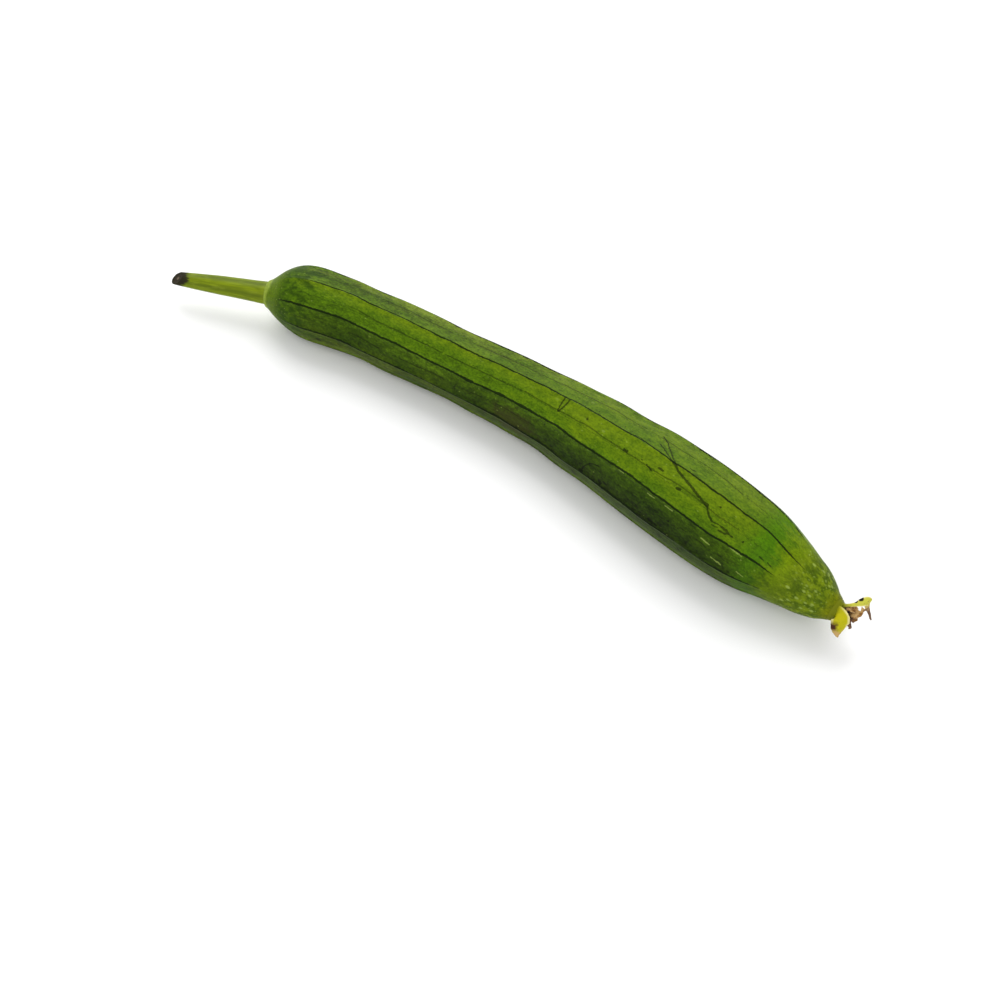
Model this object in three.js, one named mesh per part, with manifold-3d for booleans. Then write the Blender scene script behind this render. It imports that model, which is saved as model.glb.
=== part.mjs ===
// A ridge gourd of the smooth luffa kind, as picked, lying on its side.
// Millimetres, +Z up. The cut stalk points along -X and the blossom end along +X.
// The origin is on the surface that the gourd lies on, below the middle of its box.
import * as THREE from 'three';
import { mergeVertices } from 'three/addons/utils/BufferGeometryUtils.js';
import Module from 'manifold-3d';

// Driving dimensions. The whole gourd is described along x, from stalk to blossom end.
const STALK_TIP_X = -185.4;
const STALK_BASE_X = -139;
const BLOSSOM_END_X = 185.2;
const GAP = 0.3; // between touching pieces

// Centreline: how far it bows to the side, and how high it runs, as [x, mm]
const SIDE_BOW = [
  [-187, 0.1], [-154, 11.6], [-135, 17.7], [-121, 21.6], [-97, 25.4], [-72, 27.3],
  [-40, 28.2], [4, 28.0], [20, 27.2], [53, 23.3], [101, 15.5], [130, 10.7],
  [150, 8.2], [168, 4.2], [178, 2.1], [187, 0.8],
];
const HEIGHT = [
  [-187, 13.6], [-150, 15.1], [-121, 17.0], [-108, 17.1], [-85, 16.8], [-30, 17.5],
  [20, 18.6], [69, 20.7], [101, 21.5], [120, 21.4], [145, 20.0], [187, 17.2],
];

// Skin radius at the ribs, as [x, mm]: round shoulder, slim neck, full belly, short taper
const FRUIT_RADIUS = [
  [-139, 7.0], [-137, 8.2], [-134, 10.7], [-130, 13.7], [-125, 16.0], [-119, 17.4], [-112, 18.0],
  [-100, 17.6], [-85, 17.2], [-60, 17.3], [-35, 16.9], [-13, 17.2], [4, 17.7], [20, 18.3],
  [37, 19.3], [69, 21.3], [85, 22.1], [101, 22.7], [116, 22.6], [130, 21.8], [145, 19.9],
  [159, 16.0], [166, 13.8], [173, 11.9], [180, 8.9], [183, 6.9], [186, 5.4],
];
const STALK_RADIUS = [
  [-187, 3.3], [-183, 3.7], [-170, 4.6], [-154, 5.2], [-146, 5.5], [-141, 5.9], [-136, 6.0],
];

// The nine ribs: their places round the centreline in degrees, from the +Y side up over the top
const RIB_ANGLES = [11, 54, 98.5, 141, 179, 215, 251, 289, 330];
const RIB_HEIGHT = 0.4;
const RIB_HALF_WIDTH = 2;
const FACET_FLATTENING = 0.45; // 0 is a round skin, 1 a nine-sided one
const RIB_TWIST = [[-187, 0], [-120, 0], [-95, -3], [-65, 0], [187, 0]]; // degrees that ribs turn
const RIB_STRENGTH = [[-187, 0], [-134, 0], [-116, 1], [146, 1], [166, 0], [187, 0]];
const RIB_COLUMNS = [0, 0.11, 0.3, 0.5, 0.7, 0.89]; // mesh columns between two ribs

// The stalk stands in a shallow socket in the shoulder
const SOCKET_DEPTH = 2.4;
const SOCKET_RADIUS = 6.35;
const STALK_FURROWS = 5;
const FURROW_DEPTH = 0.07; // as a share of the radius
const FURROW_TURN = 23; // degrees that the furrows are turned back from the +Y side
const CUT_SLANT = 1.1; // how far the cut leans back for each mm upward
const CUT_REACH = 20; // the slant dies out over this length of stalk

// Flower remains at the blossom end, as offsets from the middle of that end
const CALYX_RADIUS = 5.5;
const CALYX_LENGTH = 2.6;
const CALYX_MOUTH_RADIUS = 4.3;
const LOBE_THICKNESS = 1.0;
const PETAL_THICKNESS = 0.8;
const EDGE_THINNING = 0.4; // the share of its thickness that a blade loses towards its edges
const HEART_RADIUS = 1.6; // the dried knot that the petals grow from
const HEART_LENGTH = 2.9;

// Each blade: the line it follows, its widths along that line, the way its width runs at
// root and tip, and how deep it is cupped
const CALYX_LOBES = [
  { // broad fleshy lobe, bent down over the near side
    path: [
      [1.0, -2.6, 2.6], [3.6, -3.4, 3.2], [5.7, -4.6, 2.3],
      [6.9, -6.1, 0.7], [7.3, -7.5, -2.2], [7.2, -8.6, -5.0],
    ],
    widths: [4.4, 5.2, 5.8, 5.2, 3.8, 1.6], root: [-0.3, 0.6, 0.7], tip: [0.8, 0.55, -0.1], cup: 0.9,
  },
  { // long strap that reaches out, folds over and hangs down in a dry point
    path: [
      [1.0, 0.8, 3.4], [3.8, 1.4, 3.8], [7.2, 3.1, 5.1], [9.6, 5.0, 5.9],
      [11.4, 6.3, 6.3], [12.3, 6.0, 3.6], [13.2, 5.4, -0.8], [14.6, 5.0, -5.8],
    ],
    widths: [3.8, 2.2, 2.4, 3.9, 3.8, 2.4, 1.5, 0.8],
    root: [-0.4, 0.8, 0.2], tip: [0.2, 0.7, 0.5], cup: 0.3,
  },
  { // short withered lobes on the hidden sides
    path: [[0.8, -3.0, -1.4], [2.8, -5.2, -2.8], [4.2, -6.6, -4.8]],
    widths: [3.6, 3.2, 1.3], root: [0, -0.4, 0.9], tip: [0.2, -0.6, 0.7], cup: 0.4,
  },
  {
    path: [[0.8, 0.6, -3.2], [2.8, 1.0, -5.4], [5.0, 0.6, -7.2]],
    widths: [3.6, 3.2, 1.3], root: [0, 1, 0], tip: [0, 1, 0.2], cup: 0.4,
  },
  {
    path: [[0.8, 3.6, -0.8], [2.6, 5.8, -1.4], [4.8, 7.6, -1.0]],
    widths: [3.6, 3.2, 1.3], root: [0, 0.2, 1], tip: [-0.3, 0.2, 1], cup: 0.4,
  },
];
const DRIED_PETALS = [
  {
    path: [[3.2, 0.1, 0.3], [5.6, 1.2, 2.2], [7.4, 2.0, 2.9], [9.0, 3.8, 2.5]],
    widths: [2.0, 3.2, 3.6, 2.2], root: [0, 0.9, -0.4], tip: [-0.6, 0.8, 0.2], cup: 0.7,
  },
  {
    path: [[3.2, 0.0, -0.2], [6.6, 1.0, 0.1], [9.3, 2.1, 0.1], [10.8, 4.2, 0.5], [11.0, 6.2, 1.4]],
    widths: [2.2, 4.0, 4.8, 4.0, 1.8], root: [0, 0.6, 0.8], tip: [-0.4, 0.2, 0.9], cup: 0.8,
  },
  {
    path: [[3.2, -0.4, -0.4], [6.0, -1.2, -1.0], [8.0, -2.0, -2.8], [8.6, -2.6, -4.8]],
    widths: [2.0, 2.8, 2.8, 1.3], root: [0, 0.8, 0.6], tip: [0.6, 0.6, 0.3], cup: 0.5,
  },
  {
    path: [[3.2, 0.2, -0.6], [6.0, 1.9, -3.0], [8.0, 3.0, -4.2], [9.6, 3.8, -4.4]],
    widths: [2.0, 3.4, 3.6, 1.8], root: [0, 0.7, -0.7], tip: [0.3, 0.7, -0.6], cup: 0.6,
  },
];

// Fineness of the faceted surfaces
const FRUIT_STATIONS = 50;
const STALK_STATIONS = 16;
const STALK_SIDES = 20;
const CALYX_SIDES = 20;
const HEART_SIDES = 12;
const END_CROWDING = 0.55; // how much closer stations stand towards both ends
const BLADE_STEPS = 9;
const BLADE_LANES = 4;
const TRIM_BLOCK = 60; // a block larger than the flower remains

const wasm = await Module();
wasm.setup();

const radians = (degrees) => degrees * Math.PI / 180;

// A smooth curve through hand-chosen [x, value] points
function through(points, x) {
  const last = points.length - 1;
  const slope = (i) => {
    const before = points[Math.max(i - 1, 0)];
    const after = points[Math.min(i + 1, last)];
    return (after[1] - before[1]) / (after[0] - before[0]);
  };
  let i = 0;
  while (i < last - 1 && x > points[i + 1][0]) i += 1;
  const [x0, y0] = points[i];
  const [x1, y1] = points[i + 1];
  const span = x1 - x0;
  const t = THREE.MathUtils.clamp((x - x0) / span, 0, 1);
  const rise = t * t * (3 - 2 * t);
  const lead = t * (1 - t) * (1 - t) * span * slope(i);
  const trail = t * t * (1 - t) * span * slope(i + 1);
  return y0 + (y1 - y0) * rise + lead - trail;
}

// Centre of the gourd at x, and the sideways and upward directions of its cross-section there
function crossSection(x) {
  const at = (px) => new THREE.Vector3(px, through(SIDE_BOW, px), through(HEIGHT, px));
  const centre = at(x);
  const along = at(x + 0.5).sub(at(x - 0.5)).normalize();
  const side = new THREE.Vector3(0, 0, 1).cross(along).normalize();
  const up = along.clone().cross(side);
  return { centre, along, side, up };
}

// Merges shared corners so that a three.js geometry is one closed, indexed surface
function closed(geometry) {
  geometry.deleteAttribute('normal');
  geometry.deleteAttribute('uv');
  const merged = mergeVertices(geometry, 1e-4);
  const corners = merged.index.array;
  const kept = [];
  for (let i = 0; i < corners.length; i += 3) {
    const [a, b, c] = corners.slice(i, i + 3);
    if (a !== b && b !== c && a !== c) kept.push(a, b, c);
  }
  merged.setIndex(kept);
  return merged;
}

// Moves every corner of a geometry with a function that returns its new place
function reshape(geometry, place) {
  const position = geometry.attributes.position;
  const corner = new THREE.Vector3();
  for (let i = 0; i < position.count; i += 1) {
    corner.fromBufferAttribute(position, i);
    const moved = place(corner);
    position.setXYZ(i, moved.x, moved.y, moved.z);
  }
  return geometry;
}

// A surface turned about a straight axis from [x, radius] points, then given its section and bow
function bentLathe(outline, sides, section) {
  const profile = outline.map(([x, radius]) => new THREE.Vector2(radius, x));
  const turned = closed(new THREE.LatheGeometry(profile, sides));
  const step = 2 * Math.PI / sides;
  return reshape(turned, (corner) => {
    const column = Math.round(Math.atan2(corner.x, corner.z) / step);
    const radius = Math.hypot(corner.x, corner.z);
    const { angle, scale, lift, shift } = section((column + sides) % sides, corner.y, radius);
    const frame = crossSection(corner.y);
    const reach = radius * scale + lift;
    return frame.centre
      .addScaledVector(frame.side, reach * Math.cos(angle))
      .addScaledVector(frame.up, reach * Math.sin(angle))
      .addScaledVector(frame.along, shift);
  });
}

// [x, radius] points on the outer skin, closer together towards both ends
function outlinePoints(radii, from, to, count) {
  const points = [];
  for (let i = 0; i <= count; i += 1) {
    const even = i / count;
    const eased = THREE.MathUtils.lerp(even, 0.5 - 0.5 * Math.cos(Math.PI * even), END_CROWDING);
    const x = THREE.MathUtils.lerp(from, to, eased);
    points.push([x, through(radii, x)]);
  }
  return points;
}

// The fruit: flattish facets between raised ribs, and a flat where it lies on the surface
function fruitGeometry() {
  const perRib = RIB_COLUMNS.length;
  const sides = RIB_ANGLES.length * perRib;
  const socketFloor = STALK_BASE_X + SOCKET_DEPTH;
  const outline = [
    [socketFloor, 0],
    [socketFloor, SOCKET_RADIUS],
    [STALK_BASE_X, SOCKET_RADIUS],
    ...outlinePoints(FRUIT_RADIUS, STALK_BASE_X, BLOSSOM_END_X, FRUIT_STATIONS),
    [BLOSSOM_END_X, 0],
  ];
  const section = (column, x, radius) => {
    const rib = Math.floor(column / perRib);
    const from = RIB_ANGLES[rib];
    const width = (RIB_ANGLES[(rib + 1) % RIB_ANGLES.length] - from + 360) % 360;
    const share = RIB_COLUMNS[column % perRib];
    const strength = through(RIB_STRENGTH, x);
    const half = radians(width / 2);
    const offset = radians(width * share) - half;
    const facet = Math.cos(half) / Math.cos(offset);
    const nearest = Math.min(share, 1 - share) * radians(width) * radius;
    const crest = Math.max(0, 1 - nearest / RIB_HALF_WIDTH);
    return {
      angle: radians(from + width * share + through(RIB_TWIST, x)),
      scale: 1 - FACET_FLATTENING * strength * (1 - facet),
      lift: RIB_HEIGHT * strength * crest,
      shift: 0,
    };
  };
  const skin = bentLathe(outline, sides, section);
  return reshape(skin, (corner) => corner.setZ(Math.max(corner.z, 0)));
}

// The stalk: furrowed, widening to its foot in the socket, and cut at a slant
function stalkGeometry() {
  const foot = STALK_BASE_X + SOCKET_DEPTH - GAP;
  const outline = [
    [STALK_TIP_X, 0],
    ...outlinePoints(STALK_RADIUS, STALK_TIP_X, foot, STALK_STATIONS),
    [foot, 0],
  ];
  const section = (column, x, radius) => {
    const angle = 2 * Math.PI * column / STALK_SIDES;
    const turned = angle + radians(FURROW_TURN);
    const furrow = 1 - FURROW_DEPTH * (0.5 - 0.5 * Math.cos(STALK_FURROWS * turned));
    const nearCut = Math.max(0, 1 - (x - STALK_TIP_X) / CUT_REACH);
    return {
      angle,
      scale: furrow,
      lift: 0,
      shift: nearCut * CUT_SLANT * radius * Math.sin(angle),
    };
  };
  return bentLathe(outline, STALK_SIDES, section);
}

// A thin blade: a flat box bent along a line in space, cupped and tapered
function bladeGeometry({ path, widths, root, tip, cup }, thickness) {
  const blade = closed(new THREE.BoxGeometry(1, 1, 1, BLADE_STEPS, BLADE_LANES, 1));
  const line = new THREE.CatmullRomCurve3(path.map((point) => new THREE.Vector3(...point)));
  const widthPoints = widths.map((width, i) => [i / (widths.length - 1), width]);
  const rootSide = new THREE.Vector3(...root);
  const tipSide = new THREE.Vector3(...tip);
  return reshape(blade, (corner) => {
    const t = corner.x + 0.5;
    const along = line.getTangent(t);
    const across = rootSide.clone().lerp(tipSide, t);
    across.addScaledVector(along, -across.dot(along)).normalize();
    const outward = along.clone().cross(across);
    const lane = 2 * corner.y;
    const edge = 1 - EDGE_THINNING * lane * lane;
    const bend = -cup * lane * lane;
    return line.getPoint(t)
      .addScaledVector(across, corner.y * through(widthPoints, t))
      .addScaledVector(outward, corner.z * thickness * edge + bend);
  });
}

// Closed surfaces joined into one solid
function joined(geometries) {
  const solids = geometries.map((geometry) => new wasm.Manifold(new wasm.Mesh({
    numProp: 3,
    vertProperties: new Float32Array(geometry.attributes.position.array),
    triVerts: new Uint32Array(geometry.index.array),
  })));
  return solids.reduce((whole, solid) => whole.add(solid));
}

function surfaceOf(solid) {
  const { vertProperties, triVerts } = solid.getMesh();
  const geometry = new THREE.BufferGeometry();
  geometry.setAttribute('position', new THREE.BufferAttribute(vertProperties, 3));
  geometry.setIndex(new THREE.BufferAttribute(triVerts, 1));
  return geometry;
}

// The blossom end's own frame, which its lobes and petals are placed from
const blossomEnd = crossSection(BLOSSOM_END_X);

// A small turned body on the blossom end's axis, from [distance from the end, radius] points
function turnedOnEnd(outline, sides) {
  const profile = outline.map(([distance, radius]) => new THREE.Vector2(radius, distance));
  const turned = closed(new THREE.LatheGeometry(profile, sides));
  return reshape(turned, (corner) => new THREE.Vector3()
    .addScaledVector(blossomEnd.along, corner.y)
    .addScaledVector(blossomEnd.side, corner.z)
    .addScaledVector(blossomEnd.up, corner.x));
}

// Everything further out along the blossom end's axis than a distance
function spaceBeyond(distance) {
  const block = closed(new THREE.BoxGeometry(TRIM_BLOCK, TRIM_BLOCK, TRIM_BLOCK));
  return joined([reshape(block, (corner) => new THREE.Vector3()
    .addScaledVector(blossomEnd.along, corner.x + TRIM_BLOCK / 2 + distance)
    .addScaledVector(blossomEnd.side, corner.y)
    .addScaledVector(blossomEnd.up, corner.z))]);
}

function calyxGeometry() {
  const collar = turnedOnEnd([
    [GAP, 0],
    [GAP, CALYX_RADIUS],
    [CALYX_LENGTH / 2, (CALYX_RADIUS + CALYX_MOUTH_RADIUS) / 2],
    [CALYX_LENGTH, CALYX_MOUTH_RADIUS],
    [CALYX_LENGTH, 0],
  ], CALYX_SIDES);
  const lobes = CALYX_LOBES.map((lobe) => bladeGeometry(lobe, LOBE_THICKNESS));
  return surfaceOf(joined([collar, ...lobes]).intersect(spaceBeyond(GAP)));
}

function petalsGeometry() {
  const heartStart = CALYX_LENGTH + GAP;
  const heart = turnedOnEnd([
    [heartStart, 0],
    [heartStart, HEART_RADIUS],
    [heartStart + 0.7 * HEART_LENGTH, 0.8 * HEART_RADIUS],
    [heartStart + HEART_LENGTH, 0],
  ], HEART_SIDES);
  const petals = DRIED_PETALS.map((petal) => bladeGeometry(petal, PETAL_THICKNESS));
  return surfaceOf(joined([heart, ...petals]).intersect(spaceBeyond(heartStart)));
}

function piece(name, geometry, color, roughness) {
  geometry.computeVertexNormals();
  const material = new THREE.MeshStandardMaterial({ color, roughness, metalness: 0 });
  const mesh = new THREE.Mesh(geometry, material);
  mesh.name = name;
  return mesh;
}

const fruit = piece('fruit', fruitGeometry(), 0x5a7d1c, 0.45);
const stalk = piece('stalk', stalkGeometry(), 0x748115, 0.5);
const calyx = piece('calyx', calyxGeometry(), 0xb4ad22, 0.55);
const petals = piece('withered_petals', petalsGeometry(), 0x6d4a2c, 0.85);
calyx.position.copy(blossomEnd.centre);
petals.position.copy(blossomEnd.centre);

const gourd = new THREE.Group();
gourd.add(fruit, stalk, calyx, petals);

// Brings the middle of the gourd's footprint to the origin
const box = new THREE.Box3().setFromObject(gourd, true);
const middle = box.getCenter(new THREE.Vector3());
gourd.position.set(-middle.x, -middle.y, -box.min.z);

export default gourd;
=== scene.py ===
# %% [markdown]
# A fresh smooth luffa, which markets also sell as ridge gourd, lies on its side on pale ground.
# It is a young fruit, picked with a piece of its stalk, and the dried flower is still on its
# other end. Its plain solids are already there, at their real size. This lesson grows a finer
# skin over the same form, shapes the stalk and the flower remains, and gives each of them its
# colours, lines and spots with nodes alone.

import math
from functools import reduce

import bmesh
import bpy
import numpy as np
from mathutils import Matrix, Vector, noise


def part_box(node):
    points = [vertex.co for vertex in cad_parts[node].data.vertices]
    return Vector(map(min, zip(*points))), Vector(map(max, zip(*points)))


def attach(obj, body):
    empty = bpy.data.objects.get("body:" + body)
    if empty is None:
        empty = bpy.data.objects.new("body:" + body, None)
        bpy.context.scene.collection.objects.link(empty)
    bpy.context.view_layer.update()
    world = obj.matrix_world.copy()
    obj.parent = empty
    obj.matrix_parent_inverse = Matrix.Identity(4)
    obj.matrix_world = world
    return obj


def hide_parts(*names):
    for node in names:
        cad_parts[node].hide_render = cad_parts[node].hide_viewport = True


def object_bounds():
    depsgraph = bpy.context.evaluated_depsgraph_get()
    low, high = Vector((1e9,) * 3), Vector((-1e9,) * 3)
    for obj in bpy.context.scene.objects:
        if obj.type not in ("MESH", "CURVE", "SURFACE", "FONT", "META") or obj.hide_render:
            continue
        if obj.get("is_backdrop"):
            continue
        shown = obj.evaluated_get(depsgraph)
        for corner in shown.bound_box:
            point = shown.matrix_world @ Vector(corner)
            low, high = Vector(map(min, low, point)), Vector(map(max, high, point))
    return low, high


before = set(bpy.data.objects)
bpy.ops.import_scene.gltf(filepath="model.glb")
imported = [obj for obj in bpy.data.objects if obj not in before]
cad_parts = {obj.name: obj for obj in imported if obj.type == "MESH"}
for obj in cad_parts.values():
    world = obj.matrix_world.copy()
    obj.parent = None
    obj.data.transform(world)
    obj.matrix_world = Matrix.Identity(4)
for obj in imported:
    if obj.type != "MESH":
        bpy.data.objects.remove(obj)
plain_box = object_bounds()
for name in sorted(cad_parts):
    low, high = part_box(name)
    print(name, "measures", [round(1000 * side, 1) for side in high - low], "mm")

# %% [markdown]
# The gourd is looked down on from its hollow side, with the stalk at the upper left. A long lens
# from 90 cm keeps both ends nearly the same size, as a product photograph does. The azimuth turns
# the view round the vertical, and the elevation tips it down.

# %% Camera
VIEW_AZIMUTH = math.radians(34.46)
VIEW_ELEVATION = math.radians(50)
VIEW_DISTANCE = 0.9
VIEW_TARGET = Vector((0.01777, -0.03499, -0.00028))
LENS = 70  # mm


def make_camera():
    backward = Vector((
        math.sin(VIEW_AZIMUTH) * math.cos(VIEW_ELEVATION),
        -math.cos(VIEW_AZIMUTH) * math.cos(VIEW_ELEVATION),
        math.sin(VIEW_ELEVATION),
    ))
    camera = bpy.data.objects.new("camera", bpy.data.cameras.new("camera"))
    camera.data.lens = LENS
    camera.location = VIEW_TARGET + backward * VIEW_DISTANCE
    camera.rotation_euler = backward.to_track_quat("Z", "Y").to_euler()
    bpy.context.scene.collection.objects.link(camera)
    bpy.context.scene.camera = camera
    return camera


print("the camera stands at", [round(place, 3) for place in make_camera().location])

# %% [markdown]
# Node networks get long, so the sums behind a pattern are written as Python expressions. The
# class below wraps one output of a node. Adding or multiplying two of them adds a Math node, or
# a Vector Math node where one is a vector, and a plain number works on either side. A vector is
# multiplied by a single value with the Scale operation.

# %% Values that add their own nodes
def is_vector(term):
    return isinstance(term, tuple) or isinstance(term, Value) and term.socket.type in ("VECTOR", "RGBA")


class Value:
    """One output of a node in a finish."""

    def __init__(self, finish, socket):
        self.finish = finish
        self.socket = socket

    def output(self, name):
        """Another output of the same node."""
        return Value(self.finish, self.socket.node.outputs[name])

    def __add__(self, other):
        return self.finish.maths("ADD", self, other)

    def __radd__(self, other):
        return self.finish.maths("ADD", other, self)

    def __sub__(self, other):
        return self.finish.maths("SUBTRACT", self, other)

    def __rsub__(self, other):
        return self.finish.maths("SUBTRACT", other, self)

    def __mul__(self, other):
        return self.finish.maths("MULTIPLY", self, other)

    def __rmul__(self, other):
        return self.finish.maths("MULTIPLY", other, self)

    def __truediv__(self, other):
        return self.finish.maths("DIVIDE", self, other)

    def __rtruediv__(self, other):
        return self.finish.maths("DIVIDE", other, self)

    def __abs__(self):
        return self.finish.maths("ABSOLUTE", self)

    def larger(self, other):
        return self.finish.maths("MAXIMUM", self, other)

    def smaller(self, other):
        return self.finish.maths("MINIMUM", self, other)

    def along(self, direction):
        return self.finish.maths("DOT_PRODUCT", self, direction)

    def length(self):
        return self.finish.maths("LENGTH", self)

    def rise(self, low, high):
        """0 below low, 1 above high, with a soft step between. With low above high it falls."""
        return self.finish.node(
            "ShaderNodeMapRange",
            {"interpolation_type": "SMOOTHSTEP"},
            {"Value": self, "From Min": low, "From Max": high},
        )

    def between(self, low, high, soft):
        """1 from low to high, fading out over a soft edge on both sides."""
        return self.rise(low - soft, low + soft) * self.rise(high + soft, high - soft)

    def equals(self, number):
        """1 where a whole number is this one, 0 where it is another."""
        return self.between(number - 0.3, number + 0.3, 0.2)


print("besides its operators, a value knows", [name for name in vars(Value) if name[0] != "_"])

# %% [markdown]
# A finish is a material with an empty tree. One method makes every node: it sets the node's own
# settings first, because they decide which sockets there are, and then feeds the sockets, by
# name or in their order. Noise, cell patterns and colour mixes are used so often that they have
# a short form.

# %% Finishes
def set_stops(ramp, stops):
    """Gives a colour ramp its (place, colour) stops. A ramp always keeps at least one."""
    while len(ramp.elements) > 1:
        ramp.elements.remove(ramp.elements[-1])
    ramp.elements[0].position, ramp.elements[0].color = stops[0]
    for place, colour in stops[1:]:
        ramp.elements.new(place).color = colour


class Finish:
    """A material whose nodes are made from Python expressions."""

    def __init__(self, name):
        self.material = bpy.data.materials.new(name)
        self.material.use_nodes = True
        self.tree = self.material.node_tree
        self.tree.nodes.clear()

    def node(self, kind, settings=None, inputs=()):
        made = self.tree.nodes.new(kind)
        for key, setting in (settings or {}).items():
            if key == "stops":
                set_stops(made.color_ramp, setting)
            else:
                setattr(made, key, setting)
        sockets = [socket for socket in made.inputs if socket.enabled]
        if isinstance(inputs, dict):
            pairs = [(made.inputs[name], given) for name, given in inputs.items()]
        else:
            pairs = list(zip(sockets, inputs))
        for socket, given in pairs:
            if isinstance(given, Value):
                self.tree.links.new(given.socket, socket)
            else:
                socket.default_value = given
        outputs = [socket for socket in made.outputs if socket.enabled]
        return Value(self, outputs[0]) if outputs else None

    def maths(self, operation, *terms):
        """A Math node on plain values, or a Vector Math node where a term is a vector."""
        vectors = [term for term in terms if is_vector(term)]
        if not vectors:
            return self.node("ShaderNodeMath", {"operation": operation}, terms)
        factors = [term for term in terms if isinstance(term, Value) and not is_vector(term)]
        if operation == "MULTIPLY" and factors:
            given = {"Vector": vectors[0], "Scale": factors[0]}
            return self.node("ShaderNodeVectorMath", {"operation": "SCALE"}, given)
        terms = [(term,) * 3 if isinstance(term, (int, float)) else term for term in terms]
        return self.node("ShaderNodeVectorMath", {"operation": operation}, terms)

    def attribute(self, name, output="Fac"):
        return self.node("ShaderNodeAttribute", {"attribute_name": name}).output(output)

    def part(self, vector, axis):
        return self.node("ShaderNodeSeparateXYZ", {}, [vector]).output(axis)

    def noise(self, where, scale=1.0, detail=2.0, roughness=0.5, distortion=0.0):
        """Cloudy noise from 0 to 1, about 0.5 on average."""
        given = {"Vector": where, "Scale": scale, "Detail": detail}
        given.update({"Roughness": roughness, "Distortion": distortion})
        return self.node("ShaderNodeTexNoise", {}, given)

    def cells(self, where, scale=1.0, randomness=1.0):
        """Distance from the middle of the nearest cell. Its Color output is a draw for each cell."""
        given = {"Vector": where, "Scale": scale, "Randomness": randomness}
        return self.node("ShaderNodeTexVoronoi", {"feature": "F1"}, given)

    def mix(self, amount, first, second, blend="MIX"):
        """One colour laid over another by an amount."""
        settings = {"data_type": "RGBA", "blend_type": blend}
        return self.node("ShaderNodeMix", settings, [amount, first, second])

    def ramp(self, value, stops):
        """The colours of the stops, blended by a value from 0 to 1."""
        return self.node("ShaderNodeValToRGB", {"stops": stops}, [value])

    def done(self, inputs, height=None, bump_depth=0.001):
        """Closes the finish with a Principled shader, and a bump where a height is given."""
        if height is not None:
            given = {"Height": height, "Distance": bump_depth, "Strength": 1.0}
            inputs = {**inputs, "Normal": self.node("ShaderNodeBump", {}, given)}
        shader = self.node("ShaderNodeBsdfPrincipled", {}, inputs)
        self.node("ShaderNodeOutputMaterial", {}, {"Surface": shader})
        return self.material


def display(red, green, blue):
    """A colour as a screen shows it, 0 to 255, in the linear light that shaders work in."""
    shares = [channel / 255 for channel in (red, green, blue)]
    return (*[s / 12.92 if s <= 0.04045 else ((s + 0.055) / 1.055) ** 2.4 for s in shares], 1)


print("leaf green in linear light is", [round(share, 3) for share in display(96, 122, 24)[:3]])

# %% [markdown]
# The ground is a plain pale sheet, bright enough to run to white. The light is an even pale
# surround with two large soft panels: the key hangs behind the gourd and throws a soft shadow
# towards the viewer, and a weaker fill at the viewer's side keeps that shadow light.

# %% Ground and light
GROUND_HALF_SIZE = 12.0
GROUND_COLOUR = (0.9, 0.9, 0.9, 1)
SURROUND = 0.8
# name: place in metres, width in metres, watts
PANELS = {
    "key": ((-0.72, 1.0, 1.4), 1.8, 25),
    "fill": ((0.6, -0.95, 0.9), 1.6, 7.5),
}


def make_ground():
    sheet = bmesh.new()
    bmesh.ops.create_grid(sheet, x_segments=1, y_segments=1, size=GROUND_HALF_SIZE)
    mesh = bpy.data.meshes.new("ground")
    sheet.to_mesh(mesh)
    sheet.free()
    ground = bpy.data.objects.new("ground", mesh)
    bpy.context.scene.collection.objects.link(ground)
    paper = Finish("pale paper")
    mesh.materials.append(paper.done({"Base Color": GROUND_COLOUR, "Roughness": 0.9}))
    ground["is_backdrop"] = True
    return ground


def make_panel(name, place, width, watts):
    """A round soft light that faces the gourd."""
    panel = bpy.data.lights.new(name, "AREA")
    panel.shape = "DISK"
    panel.size = width
    panel.energy = watts
    holder = bpy.data.objects.new(name, panel)
    holder.location = place
    holder.rotation_euler = Vector(place).to_track_quat("Z", "Y").to_euler()
    bpy.context.scene.collection.objects.link(holder)
    print(name, "hangs", round(Vector(place).length, 2), "m from the gourd")


def make_surround():
    world = bpy.data.worlds.new("surround")
    world.use_nodes = True
    world.node_tree.nodes["Background"].inputs["Color"].default_value = (1, 1, 1, 1)
    world.node_tree.nodes["Background"].inputs["Strength"].default_value = SURROUND
    bpy.context.scene.world = world
    bpy.context.scene.view_settings.view_transform = "Standard"


make_ground()
make_surround()
for name, settings in PANELS.items():
    make_panel(name, *settings)

# %% [markdown]
# The gourd's growth is a short description in millimetres: a centreline that bows to the side and
# rises a little, and a skin radius at places along it. A smooth curve runs through each list, so
# the fine skin can be read from it anywhere and still matches the plain solids.

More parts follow.
